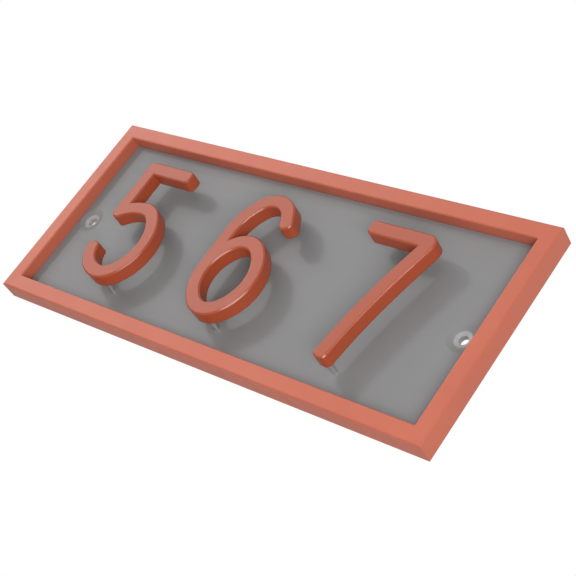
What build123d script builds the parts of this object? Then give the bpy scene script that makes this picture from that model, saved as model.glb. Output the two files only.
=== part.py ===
"""House number plaque: a painted frame round a metal plate, with three numerals floating on standoff pins.

The plaque stands upright as it hangs. X runs to the right and Z up, and the front faces -Y.
The origin is midway between the two screw holes, on the wall that the back of the frame lies against.
"""
import os
from math import atan2, degrees

from build123d import *

# Frame
frame_width = 300.0
frame_height = 122.0
frame_thickness = 11.5
border = 8.8
recess = 7.0
ledge_reach = 2.5
ledge_thickness = 1.5
frame_edge_round = 0.9
frame_rise = 3.3

# Plate, which drops in from the front, sits with its stepped rim on the frame's ledge and backs on to the wall
plate_clearance = 0.2
screw_inset = 9.2
screw_hole_diameter = 4.8
dish_diameter = 15.5
dish_angle = 145.0

# Numerals, drawn as one stroke of constant width
digit_pitch = 81.3
digit_height = 77.2
digit_width = 41.0
digit_thickness = 7.7
stroke = 8.0
end_round = 2.8
corner_round = 3.6
seven_shoulder_round = 5.5
digit_edge_bevel = 0.7

# Shape of each numeral's centreline, as shares of its half width and half height from its middle
bowl_end_radius = 0.75
five_bar_end = 0.88
five_stem_end = 0.084
five_bowl_top = 0.254
five_tail_x = -1.0
five_tail_z = -0.53
six_bowl_top = 0.216
six_spine_turn = 0.30
seven_bend_x = 0.67
seven_bend_z = 0.48
seven_foot_x = -0.03

# The six's curl straightens this far past its top, in degrees, and runs on for a short length
six_tip_turn = 61.0
six_tip_length = 9.0

# Standoff pins, with a shoulder on the plate and a blind seat in the numeral
standoff = 7.5
pin_diameter = 3.0
pin_seat = 4.0
spigot_diameter = 2.0
pin_clearance = 0.05
pin_inset = 2.6
lower_pin_x = 3.2
five_upper_pin_x = 2.0
six_upper_pin_x = -1.5
seven_upper_pin_x = -11.0
seven_lower_pin_x = 0.8

# Places worked out from the sizes above
screw_x = frame_width / 2 - border - screw_inset
plate_front = frame_thickness - recess
digit_back = plate_front + standoff
reach_x = (digit_width - stroke) / 2
reach_z = (digit_height - stroke) / 2
pin_z = digit_height / 2 - pin_inset


def front_plane(distance):
    """A plane parallel to the wall, that far in front of it, looking out from the wall."""
    return Plane.XZ.offset(distance)


def frame_outline(inset):
    """The frame's rectangle, brought in by the same distance on all sides."""
    return Pos(0, frame_rise) * Rectangle(frame_width - 2 * inset, frame_height - 2 * inset)


def make_frame():
    """One border all round, open at the front, with a thin ledge behind the plate."""
    body = extrude(front_plane(0) * frame_outline(0), frame_thickness)
    body -= extrude(front_plane(ledge_thickness) * frame_outline(border), frame_thickness - ledge_thickness)
    body -= extrude(front_plane(0) * frame_outline(border + ledge_reach), ledge_thickness)
    front_edges = body.faces().sort_by(Axis.Y)[0].edges()
    return fillet(front_edges, frame_edge_round)


def band(centreline):
    """A flat strip of the stroke's width along a centreline."""
    return trace(centreline, stroke)


def round_corners(outline, point, count, radius):
    """The outline with its corners nearest to a point rounded."""
    return fillet(outline.vertices().sort_by_distance(Vector(*point))[:count], radius)


def spot(x, z):
    """A point of a centreline, given as shares of the numeral's half width and half height."""
    return (x * reach_x, z * reach_z)


def oval_flank(half_width, half_height, end_radius):
    """Radius of an oval's long side arcs, and the angle at which they run into its end arcs."""
    rise = half_height - end_radius
    radius = (half_width**2 - end_radius**2 + rise**2) / (2 * (half_width - end_radius))
    return radius, degrees(atan2(rise, radius - half_width))


def oval_side(half_width, half_height, end_radius):
    """The right half of an oval, from its bottom to its top, in three arcs."""
    radius, meet = oval_flank(half_width, half_height, end_radius)
    bottom = CenterArc((0, end_radius - half_height), end_radius, -90, 90 - meet)
    flank = CenterArc((half_width - radius, 0), radius, -meet, 2 * meet)
    top = CenterArc((0, half_height - end_radius), end_radius, meet, 90 - meet)
    return bottom + flank + top


def oval(half_width, half_height, end_radius):
    """A whole oval, filled."""
    right = oval_side(half_width, half_height, end_radius)
    return make_face(right + mirror(right, Plane.YZ))


def five_outline():
    """Bar and stem in one stroke, and a bowl that starts at the foot of the stem."""
    bar_end = spot(five_bar_end, 1)
    bowl_start = spot(-1, five_stem_end)
    foot = (bowl_start[0], bowl_start[1] - stroke / 2)
    bar = band(Polyline(bar_end, spot(-1, 1), foot))
    bar = round_corners(bar, bar_end, 2, end_round)
    bar = round_corners(bar, foot, 2, corner_round)
    bar = round_corners(bar, (-digit_width / 2, digit_height / 2), 1, corner_round)

    top = spot(0, five_bowl_top)
    bottom = spot(0, -1)
    tail = spot(five_tail_x, five_tail_z)
    half_bowl = (top[1] - bottom[1]) / 2
    bowl_line = TangentArc(top, bowl_start, tangent=(-1, 0))
    bowl_line += Pos(0, top[1] - half_bowl) * oval_side(reach_x, half_bowl, reach_x * bowl_end_radius)
    bowl_line += TangentArc(bottom, tail, tangent=(-1, 0))
    bowl = round_corners(band(bowl_line), tail, 2, end_round)
    return bar + bowl


def six_outline():
    """A closed oval bowl with a spine that rises from its left side and curls over."""
    half_bowl = reach_z * (six_bowl_top + 1) / 2
    bowl_middle = half_bowl - reach_z
    end_radius = reach_x * bowl_end_radius
    outer = oval(reach_x + stroke / 2, half_bowl + stroke / 2, end_radius + stroke / 2)
    inner = oval(reach_x - stroke / 2, half_bowl - stroke / 2, end_radius - stroke / 2)

    turn = spot(-1, six_spine_turn)
    radius, meet = oval_flank(reach_x, reach_z - turn[1], end_radius)
    spine_line = Line((-reach_x, bowl_middle), turn)
    spine_line += CenterArc((radius - reach_x, turn[1]), radius, 180, -meet)
    curl = CenterArc((0, reach_z - end_radius), end_radius, 180 - meet, meet - 90 - six_tip_turn)
    tip = PolarLine(curl @ 1, six_tip_length, direction=curl % 1)
    spine = round_corners(band(spine_line + curl + tip), tip @ 1, 2, end_round)
    return Pos(0, bowl_middle) * (outer - inner) + spine


def seven_outline():
    """A bar that turns over a round shoulder into a stem, which leans back and straightens towards the foot."""
    bar_end = (-digit_width / 2, reach_z)
    corner = spot(1, 1)
    bend = spot(seven_bend_x, seven_bend_z)
    shoulder = band(Polyline(bar_end, corner, bend))
    shoulder = round_corners(shoulder, bar_end, 2, end_round)
    shoulder = round_corners(shoulder, (digit_width / 2, digit_height / 2), 1, seven_shoulder_round)

    foot = (seven_foot_x * reach_x, -digit_height / 2)
    stem_line = TangentArc(bend, foot, tangent=(bend[0] - corner[0], bend[1] - corner[1]))
    stem = round_corners(band(stem_line), foot, 2, end_round)
    return shoulder + stem


def make_digit(outline, place, pins):
    """The outline carried forward to its thickness, with a bevelled front edge and blind seats for the pins."""
    back = front_plane(digit_back) * Pos(place * digit_pitch, 0)
    solid = extrude(back * outline, digit_thickness)
    solid = chamfer(solid.faces().sort_by(Axis.Y)[0].edges(), digit_edge_bevel)
    seat = Circle(pin_diameter / 2 + pin_clearance)
    for pin in pins:
        solid -= extrude(back * Pos(*pin) * seat, pin_seat)
    return solid


def make_pin(x, z):
    """A turned pin that stands on the plate's front, with a thinner spigot riveted flush with its back."""
    profile = Polyline(
        (0, 0),
        (spigot_diameter / 2, 0),
        (spigot_diameter / 2, plate_front),
        (pin_diameter / 2, plate_front),
        (pin_diameter / 2, digit_back + pin_seat),
        (0, digit_back + pin_seat),
        close=True,
    )
    turned = revolve(make_face(profile), Axis.Y)
    return Pos(x, 0, z) * (Rot(180, 0, 0) * turned)


def make_plate(pin_spots):
    """The metal plate, stepped at the back round its rim, with two dished screw holes and a hole for each pin."""
    rim = front_plane(ledge_thickness) * frame_outline(border + plate_clearance)
    step = front_plane(0) * frame_outline(border + ledge_reach + plate_clearance)
    plate = extrude(rim, plate_front - ledge_thickness) + extrude(step, ledge_thickness)
    for side in (-1, 1):
        plate -= front_plane(plate_front) * Pos(side * screw_x, 0) * CounterSinkHole(
            screw_hole_diameter / 2, dish_diameter / 2, plate_front, dish_angle
        )
    hole = Circle(spigot_diameter / 2 + pin_clearance)
    for x, z in pin_spots:
        plate -= extrude(front_plane(0) * Pos(x, z) * hole, plate_front)
    return plate


# Each numeral with its outline, its place in the row and its lower and upper pin
numerals = {
    "five": (five_outline(), -1, ((lower_pin_x, -pin_z), (five_upper_pin_x, pin_z))),
    "six": (six_outline(), 0, ((lower_pin_x, -pin_z), (six_upper_pin_x, pin_z))),
    "seven": (seven_outline(), 1, ((seven_lower_pin_x, -pin_z), (seven_upper_pin_x, pin_z))),
}

nodes = {"frame": make_frame()}
pin_spots = []
for name, (outline, place, pins) in numerals.items():
    nodes[f"numeral_{name}"] = make_digit(outline, place, pins)
    for level, (pin_x, pin_z) in zip(("lower", "upper"), pins):
        pin_spots.append((place * digit_pitch + pin_x, pin_z))
        nodes[f"pin_{name}_{level}"] = make_pin(*pin_spots[-1])
nodes["plate"] = make_plate(pin_spots)

os.makedirs("parts", exist_ok=True)
for name, shape in nodes.items():
    export_step(shape, f"parts/{name}.step")
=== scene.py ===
"""House number plaque, seen from below its right end.

The CAD gives every shape. This script adds the paint and metal, the camera, the floor and the lamps.
"""

import math

import bpy
from mathutils import Matrix, Vector

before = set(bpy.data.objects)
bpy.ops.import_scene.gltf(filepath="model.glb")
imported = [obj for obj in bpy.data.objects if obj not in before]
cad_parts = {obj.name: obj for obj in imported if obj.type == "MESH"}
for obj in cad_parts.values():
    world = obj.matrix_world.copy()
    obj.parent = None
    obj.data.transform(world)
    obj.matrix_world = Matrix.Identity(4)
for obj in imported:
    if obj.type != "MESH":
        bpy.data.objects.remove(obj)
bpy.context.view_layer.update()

# Camera, in metres: where it stands, the point it looks at, and how far it is turned about its own axis
camera_place = Vector((0.4806, -0.4641, -0.2299))
camera_aim = Vector((0.0332, -0.0115, -0.0062))
camera_roll = math.radians(35.97)
camera_lens = 87.41
sensor_width = 36.0

# Stage
floor_drop = 0.90
floor_size = 40.0
floor_colour = (0.80, 0.80, 0.79, 1.0)
floor_roughness = 0.8
world_light = 0.54
background_light = 1.0

# Noise mostly stays between these two values
noise_range = (0.3, 0.7)

# Coral paint, satin on the frame and glossier on the numerals, with a fine orange-peel skin
frame_coral = (0.50, 0.125, 0.072)
frame_roughness = (0.30, 0.38)
numeral_coral = (0.37, 0.070, 0.029)
numeral_roughness = (0.17, 0.23)
paint_gloss = 0.25
paint_drift = 0.035
paint_drift_scale = 28.0
paint_cloud_scale = 140.0
peel_scale = 900.0
peel_height = 0.000008
paint_edge_radius = 0.0005
edge_samples = 6

# Satin grey plate with a lengthwise grain
plate_grey = (0.226, 0.226, 0.228)
plate_roughness = (0.40, 0.50)
plate_gloss = 0.12
plate_metallic = 0.04
plate_drift = 0.03
plate_cloud_scale = 22.0
grain_scale = 500.0
grain_stretch = (0.03, 1, 1)
grain_height = 0.000002

# Bright cut round each screw hole
screw_hole_x = 0.132
cut_radius = 0.0046
cut_blur = 0.0004
cut_metal = (0.34, 0.34, 0.34)
cut_metallic = 0.45
cut_drift = 0.10

# Turned steel of the pins
pin_steel = (0.80, 0.79, 0.78)
steel_roughness = (0.16, 0.26)
steel_drift = 0.05
steel_cloud_scale = 300.0
ring_scale = 3000.0
ring_stretch = (0.02, 1, 0.02)
ring_height = 0.000004


def make_material(name):
    """A new material with its node tree, its shader and object coordinates."""
    material = bpy.data.materials.new(name)
    material.use_nodes = True
    tree = material.node_tree
    shader = tree.nodes["Principled BSDF"]
    coords = tree.nodes.new("ShaderNodeTexCoord")
    return material, tree, shader, coords.outputs["Object"]


def noise(tree, coords, scale, detail=4.0, stretch=(1, 1, 1)):
    """Noise of a given scale in object space, stretched along an axis where asked."""
    mapping = tree.nodes.new("ShaderNodeMapping")
    mapping.inputs["Scale"].default_value = stretch
    tree.links.new(coords, mapping.inputs["Vector"])
    texture = tree.nodes.new("ShaderNodeTexNoise")
    texture.inputs["Scale"].default_value = scale
    texture.inputs["Detail"].default_value = detail
    tree.links.new(mapping.outputs["Vector"], texture.inputs["Vector"])
    return texture.outputs["Fac"]


def carry(tree, value, limits, target):
    """A value between two limits carried to a target range, and held at its ends."""
    node = tree.nodes.new("ShaderNodeMapRange")
    node.inputs["From Min"].default_value, node.inputs["From Max"].default_value = limits
    node.inputs["To Min"].default_value, node.inputs["To Max"].default_value = target
    tree.links.new(value, node.inputs["Value"])
    return node.outputs["Result"]


def tint(tree, value, colour, change):
    """A colour that runs from a little darker to a little lighter as a noise rises."""
    ramp = tree.nodes.new("ShaderNodeValToRGB")
    for stop, position, share in zip(ramp.color_ramp.elements, noise_range, (1 - change, 1 + change)):
        stop.position = position
        stop.color = (*(channel * share for channel in colour), 1)
    tree.links.new(value, ramp.inputs["Fac"])
    return ramp.outputs["Color"]


def soft_edges(tree, radius):
    """Normals that turn over an edge, as paint does, within a radius in metres."""
    node = tree.nodes.new("ShaderNodeBevel")
    node.samples = edge_samples
    node.inputs["Radius"].default_value = radius
    return node.outputs["Normal"]


def bump(tree, height, distance, under=None):
    """A bump of a real height in metres, laid over other normals where given."""
    node = tree.nodes.new("ShaderNodeBump")
    node.inputs["Strength"].default_value = 1.0
    node.inputs["Distance"].default_value = distance
    tree.links.new(height, node.inputs["Height"])
    if under is not None:
        tree.links.new(under, node.inputs["Normal"])
    return node.outputs["Normal"]


def coral_paint(name, colour, roughness):
    """Coral paint: slight drift of tone, uneven gloss and a fine orange-peel skin."""
    material, tree, shader, coords = make_material(name)
    drift = noise(tree, coords, paint_drift_scale, detail=3.0)
    peel = noise(tree, coords, peel_scale, detail=2.0)
    cloud = noise(tree, coords, paint_cloud_scale)
    edges = soft_edges(tree, paint_edge_radius)
    tree.links.new(tint(tree, drift, colour, paint_drift), shader.inputs["Base Color"])
    tree.links.new(carry(tree, cloud, noise_range, roughness), shader.inputs["Roughness"])
    tree.links.new(bump(tree, peel, peel_height, under=edges), shader.inputs["Normal"])
    shader.inputs["Specular IOR Level"].default_value = paint_gloss
    return material


def hole_distance(tree, coords):
    """Distance in metres from the nearer screw hole's axis, by folding the plate's two ends together."""
    fold = tree.nodes.new("ShaderNodeVectorMath")
    fold.operation = "ABSOLUTE"
    tree.links.new(coords, fold.inputs[0])
    flat = tree.nodes.new("ShaderNodeVectorMath")
    flat.operation = "MULTIPLY_ADD"
    flat.inputs[1].default_value = (1, 0, 1)
    flat.inputs[2].default_value = (-screw_hole_x, 0, 0)
    tree.links.new(fold.outputs["Vector"], flat.inputs[0])
    length = tree.nodes.new("ShaderNodeVectorMath")
    length.operation = "LENGTH"
    tree.links.new(flat.outputs["Vector"], length.inputs[0])
    return length.outputs["Value"]


def satin_plate():
    """Satin grey metal with a fine lengthwise grain, and bright bare metal where the screw holes are cut."""
    material, tree, shader, coords = make_material("satin grey metal")
    cloud = noise(tree, coords, plate_cloud_scale)
    grain = noise(tree, coords, grain_scale, detail=3.0, stretch=grain_stretch)
    cut_limits = (cut_radius - cut_blur, cut_radius + cut_blur)
    cut = carry(tree, hole_distance(tree, coords), cut_limits, (1, 0))
    colour = tree.nodes.new("ShaderNodeMixRGB")
    tree.links.new(cut, colour.inputs["Fac"])
    tree.links.new(tint(tree, cloud, plate_grey, plate_drift), colour.inputs["Color1"])
    tree.links.new(tint(tree, grain, cut_metal, cut_drift), colour.inputs["Color2"])
    tree.links.new(colour.outputs["Color"], shader.inputs["Base Color"])
    tree.links.new(carry(tree, cut, (0, 1), (plate_metallic, cut_metallic)), shader.inputs["Metallic"])
    tree.links.new(carry(tree, grain, noise_range, plate_roughness), shader.inputs["Roughness"])
    tree.links.new(bump(tree, grain, grain_height), shader.inputs["Normal"])
    shader.inputs["Specular IOR Level"].default_value = plate_gloss
    return material


def turned_steel():
    """Bright steel with fine rings left by turning, which run round the pin's axis."""
    material, tree, shader, coords = make_material("turned steel")
    rings = noise(tree, coords, ring_scale, detail=2.0, stretch=ring_stretch)
    cloud = noise(tree, coords, steel_cloud_scale)
    tree.links.new(tint(tree, cloud, pin_steel, steel_drift), shader.inputs["Base Color"])
    tree.links.new(carry(tree, rings, noise_range, steel_roughness), shader.inputs["Roughness"])
    tree.links.new(bump(tree, rings, ring_height), shader.inputs["Normal"])
    shader.inputs["Metallic"].default_value = 1.0
    return material


def dress(material, start):
    """Puts one material on every CAD node whose name starts with this word."""
    for name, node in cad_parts.items():
        if name.startswith(start):
            node.data.materials.clear()
            node.data.materials.append(material)


def look(obj, place, aim, roll=0.0):
    """Stands an object at a place, looking at a point, turned about its own axis."""
    turn = (aim - place).to_track_quat("-Z", "Y").to_matrix().to_4x4()
    obj.matrix_world = Matrix.Translation(place) @ turn @ Matrix.Rotation(roll, 4, "Z")


def add_camera():
    """The photograph's camera."""
    data = bpy.data.cameras.new("camera")
    data.sensor_width = sensor_width
    data.lens = camera_lens
    camera = bpy.data.objects.new("camera", data)
    bpy.context.collection.objects.link(camera)
    look(camera, camera_place, camera_aim, camera_roll)
    bpy.context.scene.camera = camera


def add_floor():
    """A plain pale floor below the plaque."""
    bpy.ops.mesh.primitive_plane_add(size=floor_size, location=(0, 0, -floor_drop))
    floor = bpy.context.active_object
    floor.name = "floor"
    material = bpy.data.materials.new("pale floor")
    material.use_nodes = True
    shader = material.node_tree.nodes["Principled BSDF"]
    shader.inputs["Base Color"].default_value = floor_colour
    shader.inputs["Roughness"].default_value = floor_roughness
    floor.data.materials.append(material)


def add_panel(name, way, distance, width, height, power, mirrored=False, roll=0.0):
    """A soft lamp that looks at the plaque's middle from one direction.

    A mirrored lamp shows only in reflections, and any other gives only light.
    """
    data = bpy.data.lights.new(name, "AREA")
    data.shape = "RECTANGLE"
    data.size = width
    data.size_y = height
    data.energy = power
    panel = bpy.data.objects.new(name, data)
    bpy.context.collection.objects.link(panel)
    look(panel, Vector(way).normalized() * distance, Vector((0, 0, 0)), roll)
    panel.visible_glossy = mirrored
    panel.visible_diffuse = not mirrored


def add_lamps():
    """A small key on the left for the shadows, a fill on the right, and two lamps for highlights."""
    add_panel("key", way=(-1.05, -1.0, 0.42), distance=1.5, width=0.16, height=0.16, power=6.5)
    add_panel("fill", way=(0.74, -0.56, -0.37), distance=1.25, width=0.5, height=0.5, power=10.0)
    add_panel(
        "edge strip", way=(0.59, -0.71, -0.37), distance=0.97, width=0.36, height=0.84, power=14.0,
        mirrored=True, roll=math.radians(-19),
    )
    add_panel(
        "sheen", way=(-0.76, -0.55, 0.29), distance=1.3, width=1.1, height=0.9, power=7.0, mirrored=True,
    )


def white_background(tree, strength):
    """A white world background of a given strength."""
    node = tree.nodes.new("ShaderNodeBackground")
    node.inputs["Color"].default_value = (1, 1, 1, 1)
    node.inputs["Strength"].default_value = strength
    return node.outputs["Background"]


def set_world():
    """White where the camera or a reflection sees it, and softer as light."""
    world = bpy.data.worlds.new("studio")
    world.use_nodes = True
    bpy.context.scene.world = world
    tree = world.node_tree
    tree.nodes.clear()
    path = tree.nodes.new("ShaderNodeLightPath")
    seen = path.outputs["Is Camera Ray"]
    for other in ("Is Glossy Ray", "Is Transmission Ray"):
        either = tree.nodes.new("ShaderNodeMath")
        either.operation = "MAXIMUM"
        tree.links.new(seen, either.inputs[0])
        tree.links.new(path.outputs[other], either.inputs[1])
        seen = either.outputs["Value"]
    mix = tree.nodes.new("ShaderNodeMixShader")
    output = tree.nodes.new("ShaderNodeOutputWorld")
    tree.links.new(seen, mix.inputs["Fac"])
    tree.links.new(white_background(tree, world_light), mix.inputs[1])
    tree.links.new(white_background(tree, background_light), mix.inputs[2])
    tree.links.new(mix.outputs["Shader"], output.inputs["Surface"])


dress(coral_paint("coral frame paint", frame_coral, frame_roughness), "frame")
dress(coral_paint("coral numeral paint", numeral_coral, numeral_roughness), "numeral")
dress(satin_plate(), "plate")
dress(turned_steel(), "pin")

add_camera()
add_floor()
set_world()
add_lamps()
bpy.context.scene.view_settings.view_transform = "Standard"
